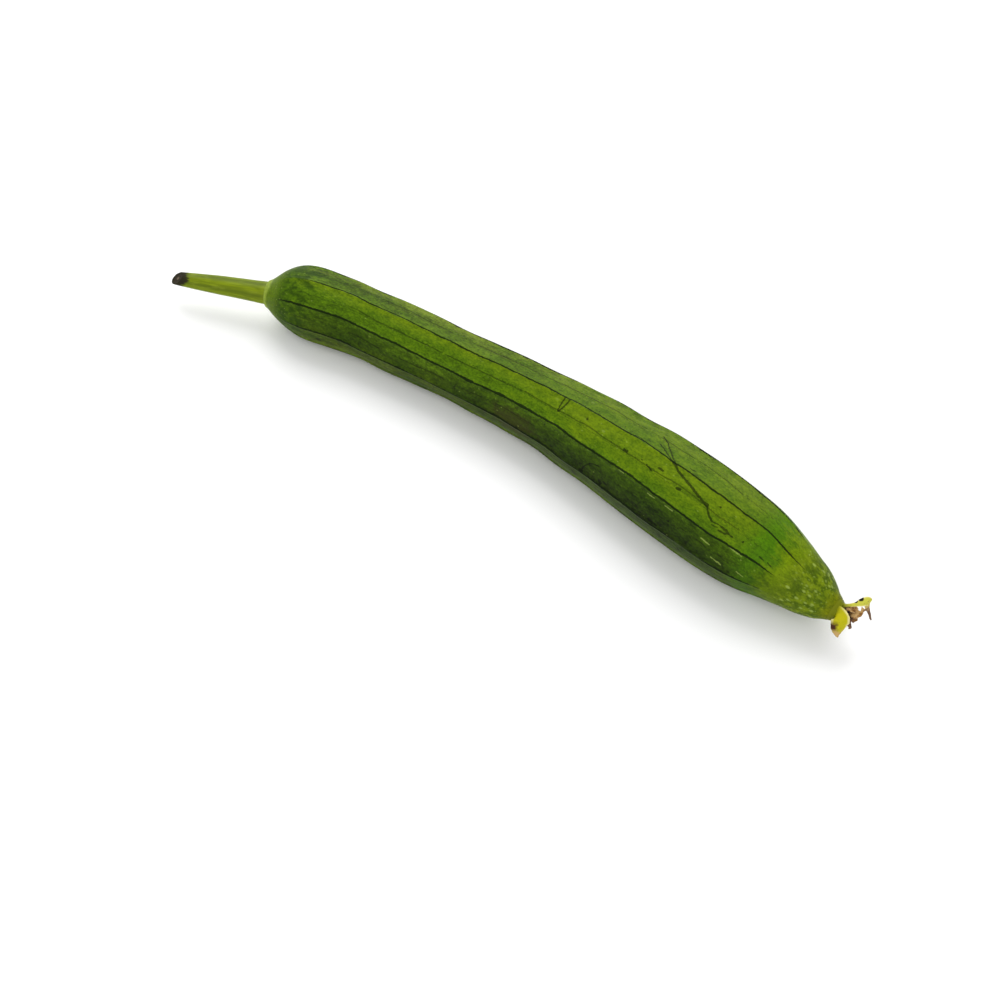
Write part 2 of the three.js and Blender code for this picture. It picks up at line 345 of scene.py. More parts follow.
# %% How the gourd grew
STALK_TIP = -185.4
SHOULDER = -139.0
BLOSSOM_END = 185.2
SIDE_BOW = [
    (-187, 0.1), (-154, 11.6), (-135, 17.7), (-121, 21.6), (-97, 25.4), (-72, 27.3),
    (-40, 28.2), (4, 28.0), (20, 27.2), (53, 23.3), (101, 15.5), (130, 10.7),
    (150, 8.2), (168, 4.2), (178, 2.1), (187, 0.8),
]
HEIGHT = [
    (-187, 13.6), (-150, 15.1), (-121, 17.0), (-108, 17.1), (-85, 16.8), (-30, 17.5),
    (20, 18.6), (69, 20.7), (101, 21.5), (120, 21.4), (145, 20.0), (187, 17.2),
]
FRUIT_RADIUS = [
    (-139, 7.0), (-137, 8.2), (-134, 10.7), (-130, 13.7), (-125, 16.0), (-119, 17.4), (-112, 18.0),
    (-100, 17.6), (-85, 17.2), (-60, 17.3), (-35, 16.9), (-13, 17.2), (4, 17.7), (20, 18.3),
    (37, 19.3), (69, 21.3), (85, 22.1), (101, 22.7), (116, 22.6), (130, 21.8), (145, 19.9),
    (159, 16.0), (166, 13.8), (173, 11.9), (180, 8.9), (183, 6.9), (186, 5.4),
]
STALK_RADIUS = [
    (-187, 3.3), (-183, 3.7), (-170, 4.6), (-154, 5.2), (-146, 5.5), (-141, 5.9), (-136, 6.0),
]


def through(points, x):
    """A smooth curve through (x, value) points, read at one x or at an array of them."""
    px, py = np.array(points, float).T
    index = np.arange(len(px))
    before = np.maximum(index - 1, 0)
    after = np.minimum(index + 1, len(px) - 1)
    slope = (py[after] - py[before]) / (px[after] - px[before])
    i = np.clip(np.searchsorted(px, x) - 1, 0, len(px) - 2)
    span = px[i + 1] - px[i]
    t = np.clip((x - px[i]) / span, 0, 1)
    rise = t * t * (3 - 2 * t)
    lead = t * (1 - t) ** 2 * span * slope[i]
    trail = t * t * (1 - t) * span * slope[i + 1]
    return py[i] + (py[i + 1] - py[i]) * rise + lead - trail


print("the belly's radius is", round(float(through(FRUIT_RADIUS, 105)), 1), "mm at its thickest")

# %% [markdown]
# Every piece is first made straight, and then laid along the bowed centreline. At each place
# along x that line has a direction, a sideways direction and an upward one, and a point of the
# straight body keeps its distance and its angle round the line.

# %% Bending a straight body
def centreline(x):
    return np.stack([x, through(SIDE_BOW, x), through(HEIGHT, x)], -1)


def unit(vectors):
    return vectors / np.linalg.norm(vectors, axis=-1, keepdims=True)


def cross_section(x):
    """The centre at x, and the directions along, sideways and up there."""
    along = unit(centreline(x + 0.5) - centreline(x - 0.5))
    side = unit(np.cross([0.0, 0.0, 1.0], along))
    return centreline(x), along, side, np.cross(along, side)


def bent(x, angle, reach, shift=0.0):
    """Points at an angle and a reach round the centreline, moved along it by a shift."""
    centre, along, side, up = cross_section(x)
    across = side * np.cos(angle)[:, None] + up * np.sin(angle)[:, None]
    return centre + across * reach[:, None] + along * np.broadcast_to(shift, x.shape)[:, None]


print("the bow is", round(float(through(SIDE_BOW, -30) - through(SIDE_BOW, 187)), 1), "mm deep")

# %% [markdown]
# Nine low ribs run from shoulder to blossom end, with flattish facets between them. They aren't
# spaced evenly, and at the neck they turn a little round the fruit. The columns of the mesh are
# crowded towards the ribs, where the skin bends most and where its dark lines are.

# %% Ribs and facets
RIB_ANGLES = np.array([11, 54, 98.5, 141, 179, 215, 251, 289, 330])
RIB_HEIGHT = 0.4
RIB_HALF_WIDTH = 2
FACET_FLATTENING = 0.45
RIB_TWIST = [(-187, 0), (-120, 0), (-95, -3), (-65, 0), (187, 0)]
RIB_STRENGTH = [(-187, 0), (-134, 0), (-116, 1), (146, 1), (166, 0), (187, 0)]
RIB_CROWDING = 0.5
RIB_WIDTHS = (np.roll(RIB_ANGLES, -1) - RIB_ANGLES) % 360


def places_on_ribs(angle):
    """The rib before each even angle of the straight body, and the share of the way to the next."""
    turns = angle % math.tau / math.tau * len(RIB_ANGLES)
    rib = np.floor(turns + 1e-5)
    share = np.maximum(turns - rib, 0)
    share = share - RIB_CROWDING * np.sin(math.tau * share) / math.tau
    return rib.astype(int) % len(RIB_ANGLES), share


def ribbed(x, radius, rib, share):
    """Where the ribbed skin is: its angle, its reach, and its distance from the nearest rib."""
    width = np.radians(RIB_WIDTHS[rib])
    strength = through(RIB_STRENGTH, x)
    facet = np.cos(width / 2) / np.cos(width * share - width / 2)
    nearest = np.minimum(share, 1 - share) * width * radius
    crest = 0.5 + 0.5 * np.cos(math.pi * np.clip(nearest / RIB_HALF_WIDTH, 0, 1))
    angle = np.radians(RIB_ANGLES[rib] + through(RIB_TWIST, x)) + width * share
    reach = radius * (1 - FACET_FLATTENING * strength * (1 - facet)) + RIB_HEIGHT * strength * crest
    return angle, reach, nearest


print("facets are", RIB_WIDTHS.min(), "to", RIB_WIDTHS.max(), "degrees wide")

# %% [markdown]
# A straight body of revolution starts as one edge. It is cut into short pieces, each new corner
# is pulled out to the radius at its x, and the outline is spun once round the X axis. An open
# end is then carried inward ring by ring and drawn together to a point, so the body is closed.

# %% Turning a straight body
def turned(radii, start, end, rows, columns):
    """A straight skin round the X axis, open at both ends, in millimetres."""
    body = bmesh.new()
    corners = [body.verts.new((start, 0, 0)), body.verts.new((end, 0, 0))]
    line = body.edges.new(corners)
    bmesh.ops.subdivide_edges(body, edges=[line], cuts=rows - 1)
    for corner in body.verts:
        corner.co.y = float(through(radii, corner.co.x))
    outline = body.verts[:] + body.edges[:]
    bmesh.ops.spin(
        body, geom=outline, cent=(0, 0, 0), axis=(1, 0, 0),
        angle=math.tau, steps=columns, use_merge=True,
    )
    return body


def close_end(body, rim_x, rings):
    """Carries the open rim at rim_x through (x, radius) rings, the last one a point."""
    rim = [edge for edge in body.edges if edge.is_boundary and abs(edge.verts[0].co.x - rim_x) < 0.01]
    for x, radius in rings:
        new = bmesh.ops.extrude_edge_only(body, edges=rim)["geom"]
        corners = [item for item in new if isinstance(item, bmesh.types.BMVert)]
        rim = [item for item in new if isinstance(item, bmesh.types.BMEdge) and item.is_boundary]
        scale = radius / math.hypot(corners[0].co.y, corners[0].co.z)
        bmesh.ops.scale(body, vec=(1, scale, scale), verts=corners)
        bmesh.ops.translate(body, vec=(x - corners[0].co.x, 0, 0), verts=corners)
    bmesh.ops.remove_doubles(body, verts=corners, dist=1e-4)


def straight_places(body):
    """The x, radius and angle of every corner of a straight body."""
    places = np.array([corner.co for corner in body.verts])
    angle = np.arctan2(places[:, 2], places[:, 1])
    return places[:, 0], np.hypot(places[:, 1], places[:, 2]), angle


def move_corners(body, places):
    for corner, place in zip(body.verts, places):
        corner.co = place


tube = turned([(0, 5), (10, 5)], 0, 10, rows=4, columns=12)
print("a short test tube has", len(tube.verts), "corners and", len(tube.faces), "faces")
tube.free()

# %% [markdown]
# Grown skin is never quite even. A few slow waves with whole numbers of turns swell and dent it,
# drawn from a seed so that they are the same each time.

# %% Slow lumps
LUMP_WAVES = 9
LUMP_HEIGHT = 0.22
LUMP_LENGTHS = (16, 60)
MOST_LUMPS_ROUND = 4
FRUIT_SEED = 7


def lumps(x, angle, seed):
    """Swellings of up to about half a millimetre, with whole turns so that they close."""
    draw = np.random.default_rng(seed)
    total = np.zeros_like(x)
    for _ in range(LUMP_WAVES):
        length = draw.uniform(*LUMP_LENGTHS)
        turns = draw.integers(0, MOST_LUMPS_ROUND + 1)
        total += np.sin(math.tau * x / length + turns * angle + draw.uniform(0, math.tau))
    return LUMP_HEIGHT * total / math.sqrt(LUMP_WAVES)


sample = lumps(np.linspace(SHOULDER, BLOSSOM_END, 500), np.zeros(500), FRUIT_SEED)
print("along one side the lumps run from", sample.min().round(2), "to", sample.max().round(2), "mm")

# %% [markdown]
# The finished pieces are ordinary mesh objects in metres. Their places are shifted to where the
# plain fruit lies: its box is compared with the box of the same form worked out here.

# %% Where the fruit lies
FRUIT_ROWS = 500
FRUIT_COLUMNS_PER_RIB = 20
FRUIT_COLUMNS = FRUIT_COLUMNS_PER_RIB * len(RIB_ANGLES)


def plain_fruit_corner(pick):
    """The lowest or highest x and y of the ribbed form without its lumps."""
    x, angle = np.meshgrid(np.linspace(SHOULDER, BLOSSOM_END, 400), np.linspace(0, math.tau, 361))
    x, angle = x.ravel(), angle.ravel()
    rib, share = places_on_ribs(angle)
    angle, reach, _ = ribbed(x, through(FRUIT_RADIUS, x), rib, share)
    return pick(bent(x, angle, reach), axis=0)


fruit_low, fruit_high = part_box("fruit")
own_middle = (plain_fruit_corner(np.min) + plain_fruit_corner(np.max)) / 2
SHIFT = 500 * np.array(fruit_low + fruit_high) - own_middle
SHIFT[2] = 0
print("the straight description is shifted by", SHIFT.round(2), "mm")

# %% [markdown]
# Each finished body becomes one object. It could be placed and turned as an object, but its place
# is kept in its mesh instead: the object stays at the origin, so a pattern that reads places in
# millimetres never slides. The piece then rides on the gourd's one body, stands for its plain
# solid, which is hidden, and takes the finish it is given.

# %% Finished objects
def finished(name, body, node, material):
    """Makes a closed body a smooth object in metres that stands for a plain solid."""
    bmesh.ops.recalc_face_normals(body, faces=body.faces[:])
    mesh = bpy.data.meshes.new(name)
    body.to_mesh(mesh)
    body.free()
    places = np.empty(3 * len(mesh.vertices))
    mesh.vertices.foreach_get("co", places)
    places = (places.reshape(-1, 3) + SHIFT) / 1000
    mesh.vertices.foreach_set("co", places.ravel())
    mesh.polygons.foreach_set("use_smooth", [True] * len(mesh.polygons))
    mesh.materials.append(material)
    mesh.update()
    piece = bpy.data.objects.new(name, mesh)
    bpy.context.scene.collection.objects.link(piece)
    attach(piece, "root")
    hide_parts(node)
    print(name, "has", len(mesh.polygons), "faces")
    return piece


# %% [markdown]
# The fruit's skin carries a few numbers at every corner, so that its finish can follow its
# growth: where the corner was on the straight body, how far it is from the nearest rib and from
# the middle of its facet, how light and how grey its facet is there, and how wide the dark line
# on its rib is. The facets that face up are lighter and greyer: this is partly the skin's own
# tone, and partly painted light from above and a painted sheen of the pale surround. The lower
# facets are greyer too, partly as a painted reflection of the pale ground.

# %% Notes on the skin
# Each facet's lightness at its two ribs: the skin's own tone, with painted light on the facets that face up
FACET_TONE_AND_PAINTED_LIGHT = [
    (0.6, 0.68), (0.74, 0.72), (0.94, 0.72), (0.54, 0.43), (0.44, 0.5),
    (0.48, 0.5), (0.52, 0.5), (0.5, 0.56), (0.56, 0.6),
]
# Each facet's grey at its two ribs: partly the skin's own, partly painted sheen on the top and lower facets
FACET_GREY_AND_PAINTED_SHEEN = [
    (0.8, 0.75), (0.7, 0.15), (0.05, 0.0), (0.1, 0.2), (0.35, 0.5),
    (0.6, 0.5), (0.5, 0.5), (0.5, 0.6), (0.6, 0.7),
]
# How the near side's upper facets brighten and its lower ones darken towards the belly
UPPER_FACETS = (1, 2)
UPPER_FACET_GAIN = [(-130, -0.16), (-95, -0.16), (-60, -0.13), (0, -0.1), (40, 0.05), (150, 0.0)]
DARK_FACET = 3
DARK_FACET_SHADE = [
    (-130, 0.06), (-60, 0.05), (-10, 0.14), (20, 0.22), (60, 0.31), (105, 0.33), (155, 0.05),
]
BELLY_GREY = [(-130, 1.1), (0, 1.0), (50, 0.7), (150, 0.55)]
# The line on each rib: half its width in mm, how ragged it is, and where it starts and ends
RIB_LINES = [
    (0.26, 0.8, -116, 156), (0.42, 0.9, -118, 160), (0.32, 0.18, -121, 170),
    (0.44, 0.3, -131, 163), (0.42, 0.75, -127, 160), (0.28, 0.5, -118, 154),
    (0.28, 0.6, -120, 158), (0.26, 0.5, -117, 155), (0.3, 0.8, -119, 158),
]
LINE_SWELLINGS = [(3, -17, 4, 0.3), (3, 2, 3.5, 0.25), (3, 16, 3.5, 0.25)]  # rib, x, reach, extra
LINE_TAPER = 12


def note(body, name, values):
    """Stores one number, or one vector, at every corner."""
    kinds = body.verts.layers.float if np.ndim(values) == 1 else body.verts.layers.float_vector
    layer = kinds.new(name)
    for corner, value in zip(body.verts, values):
        corner[layer] = value


def across_facet(pairs, rib, share):
    """A number that runs from one to another across each facet, and meets its neighbour's."""
    first, last = np.array(pairs).T
    within = first[rib] + (last[rib] - first[rib]) * share * share * (3 - 2 * share)
    return np.where(share < 1e-3, (first[rib] + last[rib - 1]) / 2, within)


def line_half_width(x, rib):
    """Half the width of the line on a rib, thinning out towards both ends and swelling in places."""
    half, _, start, end = np.array(RIB_LINES).T[:, rib]
    width = half * np.clip((x - start) / LINE_TAPER, 0, 1) * np.clip((end - x) / LINE_TAPER, 0, 1)
    for swollen, middle, reach, extra in LINE_SWELLINGS:
        width += (rib == swollen) * extra * np.clip(1 - ((x - middle) / reach) ** 2, 0, 1)
    return width


def note_growth(body, x, radius, rib, share, nearest):
    width = np.radians(RIB_WIDTHS[rib])
    straight = np.radians(RIB_ANGLES[rib]) + width * share
    nearest_rib = np.where(share <= 0.5, rib, (rib + 1) % len(RIB_ANGLES))
    shade = (rib == DARK_FACET) * np.sqrt(np.maximum(share, 0)) + (rib == DARK_FACET + 1) * 0.5 * (1 - share)
    gain = np.isin(rib, UPPER_FACETS) * 4 * share * (1 - share)
    note(body, "grown", np.stack([x, radius * np.cos(straight), radius * np.sin(straight)], -1))
    note(body, "from_rib", np.where(share <= 0.5, nearest, -nearest))
    note(body, "from_middle", (share - 0.5) * width * radius)
    # Painted light: the lightness of the facets that face up is partly light from above, painted in
    light = across_facet(FACET_TONE_AND_PAINTED_LIGHT, rib, share) + gain * through(UPPER_FACET_GAIN, x)
    note(body, "light", light - shade * through(DARK_FACET_SHADE, x))
    # Painted sheen: the grey is partly a reflection of the pale surround and ground, painted in
    note(body, "grey", across_facet(FACET_GREY_AND_PAINTED_SHEEN, rib, share) * through(BELLY_GREY, x))
    note(body, "line", line_half_width(x, nearest_rib))
    note(body, "ragged", np.array(RIB_LINES)[nearest_rib, 1])


for rib, (half, ragged, start, end) in enumerate(RIB_LINES):
    print("rib", rib, "has a line", 2 * half, "mm wide from", start, "to", end)

# %% [markdown]
# A map of the unrolled skin in millimetres serves for the scratches, which are drawn on it. Its
# middle is on the side that faces the camera, and its seam is on the far underside.

# %% The unrolled skin
SEEN_ANGLE = 124.7


def unroll(body, x, radius, rib, share):
    """A map of x and the way round the skin, in millimetres, with its seam on the far underside."""
    straight = RIB_ANGLES[rib] + RIB_WIDTHS[rib] * share - SEEN_ANGLE
    layer = body.loops.layers.uv.new("unrolled")
    body.verts.index_update()
    for face in body.faces:
        turns = straight[[corner.index for corner in face.verts]]
        turns = (turns - turns[0] + 180) % 360 - 180 + (turns[0] + 180) % 360 - 180
        for loop, turn in zip(face.loops, turns):
            i = loop.vert.index
            loop[layer].uv = (x[i], math.radians(turn) * radius[i])


first_rib = math.radians(SEEN_ANGLE - RIB_ANGLES[0]) * float(through(FRUIT_RADIUS, 0))
print("on the unrolled skin, the first rib lies", round(first_rib), "mm above the middle")

# %% [markdown]
# The skin itself: turned, closed at both ends, ribbed, bent and given its lumps. Where it would
# go below the ground it is pressed flat, as the plain solid is, so the gourd rests on two small
# flats under its belly and its neck.

# %% The fruit
SHOULDER_LIP = [(-139.35, 6.6), (-139.3, 6.1), (-138.6, 5.6), (-138.0, 0.01)]
BLOSSOM_LIP = [(185.5, 5.2), (185.6, 4.6), (185.6, 0.01)]
# The lumps start where the fruit has this radius, and are full where it has the next
LUMPLESS_RADIUS = 6
LUMPY_RADIUS = 10


def make_fruit(material):
    body = turned(FRUIT_RADIUS, SHOULDER, BLOSSOM_END, FRUIT_ROWS, FRUIT_COLUMNS)
    close_end(body, SHOULDER, SHOULDER_LIP)
    close_end(body, BLOSSOM_END, BLOSSOM_LIP)
    x, radius, angle = straight_places(body)
    rib, share = places_on_ribs(angle)
    turned_angle, reach, nearest = ribbed(x, radius, rib, share)
    fade = np.clip((radius - LUMPLESS_RADIUS) / (LUMPY_RADIUS - LUMPLESS_RADIUS), 0, 1)
    places = bent(x, turned_angle, reach + fade * lumps(x, turned_angle, FRUIT_SEED))
    places[:, 2] = np.maximum(places[:, 2], 0)
    note_growth(body, x, radius, rib, share, nearest)
    unroll(body, x, radius, rib, share)
    move_corners(body, places)
    return finished("fruit_skin", body, "fruit", material)


print("the fruit's skin will have", FRUIT_ROWS * FRUIT_COLUMNS, "faces between its two ends")

# %% [markdown]
# The skin's colour is built up as the real one reads. First comes a ramp of greens that follows
# each facet's lightness, which holds painted light as well as the skin's own tone, clouded and
# mottled at three sizes, with a grey bloom in lengthwise streaks that is partly painted sheen.
# Then come the places along the fruit: the pale ring round the stalk's foot, a mottled
# shoulder, a bright blotch and a yellow zone before the blossom end, and the olive cap.

# %% The skin's greens
GREENS = [
    (0.0, display(12, 24, 2)), (0.22, display(33, 52, 4)), (0.45, display(49, 72, 5)),
    (0.7, display(69, 98, 5)), (1.0, display(92, 114, 6)),
]
GREYS = [(0.2, display(52, 46, 6)), (0.45, display(72, 76, 14)), (0.75, display(112, 126, 42))]
SHOULDER_GREEN = display(58, 84, 4)
SHOULDER_PALE = display(98, 120, 16)
FOOT_RING = display(136, 154, 56)
DEEP_GREEN = display(34, 58, 5)
BLOTCH_GREEN = display(62, 105, 1)
YELLOW_GREEN = display(102, 124, 1)
CAP_OLIVE = display(98, 115, 12)
CAP_DARK = display(58, 80, 5)
NUB_OLIVE = display(102, 108, 4)
# Where they lie along the fruit, in mm
BLOTCH = (143, 155)
YELLOW_ZONE = (157, 167)
CAP_START = (160, 168)
NUB_START = (180, 186)
DEEP_ZONE = (-131, -113)
SHOULDER_START = (-112, -123)
PALE_START = (-127, -134)
RING_START = (-135.8, -138.0)


def green_ground(skin, grown, x):
    """The clouded green under the lines, by facet and by place along the fruit."""
    clouds = skin.noise(grown * (0.035, 0.1, 0.1), 1, 3, 0.6)
    mottle = skin.noise(grown * (0.22, 0.42, 0.42), 1, 3, 0.65)
    grain = skin.noise(grown * (0.8, 1.3, 1.3), 1, 2, 0.6)
    streaks = skin.noise(grown * (0.05, 0.7, 0.7), 1, 3, 0.6)
    light = skin.attribute("light")
    tone = light + (clouds - 0.5) * 0.5 + (mottle - 0.5) * 0.45 + (grain - 0.5) * 0.4
    green = skin.ramp(tone, GREENS)
    # Painted sheen: these grey streaks are partly the skin's own and partly the surround's reflection
    bloom_and_painted_sheen = skin.attribute("grey") * (streaks + clouds - 0.5).rise(0.1, 0.75)
    green = skin.mix(bloom_and_painted_sheen, green, skin.ramp(tone, GREYS))
    ragged_x = x + (mottle - 0.5) * 16 + (clouds - 0.5) * 10
    green = skin.mix(ragged_x.between(*BLOTCH, 6) * light * 0.9, green, BLOTCH_GREEN)
    yellowing = (ragged_x + (clouds - 0.5) * 12).between(*YELLOW_ZONE, 7)
    green = skin.mix(yellowing * (light * 1.3).smaller(0.9), green, YELLOW_GREEN)
    cap = ragged_x.rise(*CAP_START)
    green = skin.mix(cap * 0.9, green, CAP_OLIVE)
    green = skin.mix(cap * mottle.rise(0.62, 0.42) * 0.75, green, CAP_DARK)
    green = skin.mix((x + (mottle - 0.5) * 8).rise(*NUB_START) * 0.9, green, NUB_OLIVE)
    green = skin.mix(ragged_x.rise(*SHOULDER_START) * 0.7, green, SHOULDER_GREEN)
    green = skin.mix(ragged_x.between(*DEEP_ZONE, 4) * mottle.rise(0.58, 0.4) * 0.6, green, DEEP_GREEN)
    green = skin.mix(ragged_x.rise(*PALE_START) * 0.5, green, SHOULDER_PALE)
    ring = (x + (clouds - 0.5) * 6 + (grain - 0.5) * 3).rise(*RING_START)
    green = skin.mix(ring * 0.85, green, FOOT_RING)
    return green * (1 + (mottle - 0.5) * 0.7 + (grain - 0.5) * 0.9), mottle, grain


print("the facets' lightness runs from", np.min(FACET_TONE_AND_PAINTED_LIGHT), "to", np.max(FACET_TONE_AND_PAINTED_LIGHT))

# %% [markdown]
# The luffa's marks are dark lines on the ribs, finer lines between them, and specks. A line is
# wherever the distance from its rib, bent by slow noise so that it wanders, is less than half
# its width. A sharper noise makes that width ragged, down to nothing, which breaks the line.

# %% The skin's lines and specks
LINE_GREEN = display(10, 22, 3)
PALE_SPECK = display(142, 160, 76)
LINE_WANDER = 3  # mm, of which slow noise reaches about a quarter to each side


def rib_lines(skin, grown):
    """Dark lines on the ribs: 1 in a line and 0 beside it."""
    wander = (skin.noise(grown * (0.04, 0.02, 0.02), 1, 2, 0.5) - 0.5) * LINE_WANDER
    jitter = (skin.noise(grown * (0.45, 0.1, 0.1), 1, 3, 0.65) - 0.5) * 0.7
    tatter = skin.noise(grown * (0.3, 0.6, 0.6), 1, 4, 0.7) - 0.5
    offset = abs(skin.attribute("from_rib") + wander + jitter)
    half = skin.attribute("line") * (1 + tatter) + skin.attribute("ragged") * tatter * 1.8
    present = skin.attribute("line").rise(0.02, 0.12)
    return (offset - half).rise(0.14, -0.1) * present


def veins(skin, grown, x):
    """Faint wavy lines between the ribs, clearest on the lightest facets."""
    wander = (skin.noise(grown * (0.03, 0.02, 0.02), 1, 3, 0.55) - 0.5) * 5
    offset = abs(skin.attribute("from_middle") + wander)
    breaks = skin.noise(grown * (0.12, 0.1, 0.1), 1, 3, 0.7) + skin.attribute("light") * 0.3
    return offset.rise(0.55, 0.1) * breaks.rise(0.54, 0.68) * x.between(-90, 138, 10)


def specks(skin, place, density, size):
    """Small cells, of which a share is drawn: the larger the density, the more of them."""
    cell = skin.cells(place)
    drawn = (density - skin.part(cell.output("Color"), "X")).rise(-0.02, 0.02)
    return cell.rise(size, size * 0.45) * drawn


def pale_specks(skin, grown, x):
    """Lengthwise flecks, large and crowded on the cap, small and few on the body."""
    cap = x.rise(161, 170) * x.rise(184, 180)
    large = specks(skin, grown * (0.27, 0.46, 0.46), cap * 0.9, 0.38)
    small = specks(skin, grown * (0.5, 0.85, 0.85), 0.03 + cap * 0.5 + x.rise(-112, -124) * 0.2, 0.3)
    return large.larger(small * 0.6)


def dark_specks(skin, grown):
    dashes = specks(skin, grown * (0.1, 0.7, 0.7), 0.16, 0.14)
    return dashes.larger(specks(skin, grown * (0.3, 0.45, 0.45), 0.05, 0.13))


print("a rib line wanders up to about", LINE_WANDER / 4, "mm from its rib")

# %% [markdown]
# The scratches, dots and torn flecks are this gourd's own, so they are drawn one by one, as short
# paths on the unrolled skin: millimetres along the gourd, and millimetres down the near side from
# its middle. The distance from a path is the smallest of the distances from its stretches, and
# a path of one point is a dot. A little noise roughens their edges.

# %% Marks drawn as paths
DARK_MARKS = [
    # the hook that hangs from a rib line
    (0.42, [(32.9, -9.1), (32.7, -5.6), (33.2, -2.4)]),
    (0.42, [(35.7, -9.2), (35.1, -5.7), (34.3, -2.4)]),
    (0.9, [(33.7, -1.9)]),
    # the long scratch and its branch
    (0.36, [(82.3, -20.2), (86.0, -18.2), (91.9, -13.6), (99.8, -8.3)]),
    (0.3, [(84.7, -14.8), (92.7, -11.3), (99.8, -8.3)]),
    (0.55, [(99.8, -8.3), (110.3, -5.3), (116.5, -3.3), (120.0, -2.4)]),
    (0.42, [(120.0, -2.4), (122.3, 0.1), (125.4, 1.9)]),
    (0.75, [(118.6, -3.1), (119.8, -2.9)]),
    # a curled scar
    (0.3, [(125.4, 1.9), (127.9, 1.3), (130.6, 1.2), (133.0, 1.7), (135.8, 2.4)]),
    (0.5, [(130.2, 1.3), (132.6, 1.6)]),
    (0.22, [(126.0, 3.1), (128.4, 2.7)]),
    (0.42, [(129.6, 3.2), (132.0, 3.0), (133.4, 2.2)]),
    # dots and short dashes
    (0.6, [(73.2, -2.4), (75.0, -2.6)]),
    (0.7, [(104.8, -1.2), (106.2, -1.6)]),
    (0.5, [(92.2, -4.4), (94.6, -4.3)]),
    (0.6, [(48.9, -5.4)]),
    (0.3, [(51.0, -11.6)]),
    (0.3, [(66.0, -12.2)]),
    (0.26, [(103.6, -12.6), (106.2, -12.9)]),
    (0.34, [(83.0, -3.1), (83.6, -3.0)]),
    (0.3, [(86.5, -2.4), (90.5, -1.2)]),
    (0.26, [(73.0, -10.8), (75.6, -11.5), (78.4, -10.8)]),
    (0.5, [(124.6, -5.6)]),
    (0.5, [(140.6, 1.4)]),
    (0.32, [(150.5, 2.3), (153.0, 2.6)]),
    (0.28, [(155.0, 2.3), (157.0, 2.6)]),
    (0.45, [(30.6, 7.2)]),
    (0.4, [(70.8, 17.0), (72.6, 17.4)]),
    (0.4, [(101.6, 19.8), (103.6, 20.1)]),
    (0.45, [(108.6, 14.0)]),
    # fine curved lines on the dark facet
    (0.26, [(66.4, 10.8), (61.2, 12.2), (58.5, 14.9), (57.2, 17.8)]),
    (0.16, [(-21.9, 9.4), (-23.4, 12.3), (-22.4, 15.0)]),
    # stains on and below the lowest line of the near side
    (1.1, [(51.0, 24.4), (51.6, 26.0)]),
    (0.8, [(56.4, 18.4), (57.6, 18.6)]),
    (0.7, [(68.2, 17.8), (69.4, 18.4)]),
    (0.9, [(70.7, 20.8), (70.9, 21.8)]),
    (0.7, [(99.0, 19.6), (101.0, 20.0)]),
    (1.0, [(104.5, 27.0), (105.0, 28.2)]),
    (0.8, [(115.8, 27.0)]),
    (0.9, [(-104.8, 22.8), (-103.4, 23.4)]),
]
MARK_BLUR = (0.18, -0.12)  # mm past its half width where a mark ends, and where it is full
PALE_MARKS = [
    (0.3, [(125.0, 11.2), (129.2, 11.5)]),
    (0.24, [(136.8, 6.6), (143.4, 7.0)]),
    (0.26, [(131.6, 16.4), (136.8, 16.8)]),
    (0.24, [(144.2, 15.2), (148.0, 15.4)]),
    (0.22, [(77.0, 6.5), (79.7, 6.4)]),
    (0.22, [(94.4, 8.1), (98.2, 8.2)]),
    (0.24, [(104.4, 8.2), (108.8, 8.3)]),
    (0.3, [(144.0, 8.6)]),
]


def distance_from_path(spot, points):
    """How far a spot on the unrolled skin is from a path, in mm."""
    if len(points) == 1:
        return (spot - (*points[0], 0.0)).length()
    nearest = []
    for start, end in zip(points, points[1:]):
        run = Vector((end[0] - start[0], end[1] - start[1], 0))
        offset = spot - (*start, 0.0)
        share = offset.along(tuple(run / run.length_squared)).larger(0).smaller(1)
        nearest.append((offset - share * tuple(run)).length())
    return reduce(Value.smaller, nearest)


def drawn_marks(spot, marks):
    """1 in any of the marks, 0 outside all of them."""
    drawn = (
        distance_from_path(spot, points).rise(*[half_width + blur for blur in MARK_BLUR])
        for half_width, points in marks
    )
    return reduce(Value.larger, drawn)


print(len(DARK_MARKS), "dark marks and", len(PALE_MARKS), "pale ones")

# %% [markdown]
# All of these layers meet in one finish. Marks could be painted over the green, but on the real
# skin they let it show through, so veins, specks and scratches darken the green by multiplying
# it, and only the rib lines and the pale flecks are mixed in. The skin is satin rather than
# glossy, with a very shallow bump from the same clouds that mottle its colour.

# %% The skin's finish
STAIN_BROWN = display(50, 50, 18)
STAIN_PLACE = (12.0, 15.0, 0.0)
STAIN_SIZE = (17.0, 9.0, 1.0)


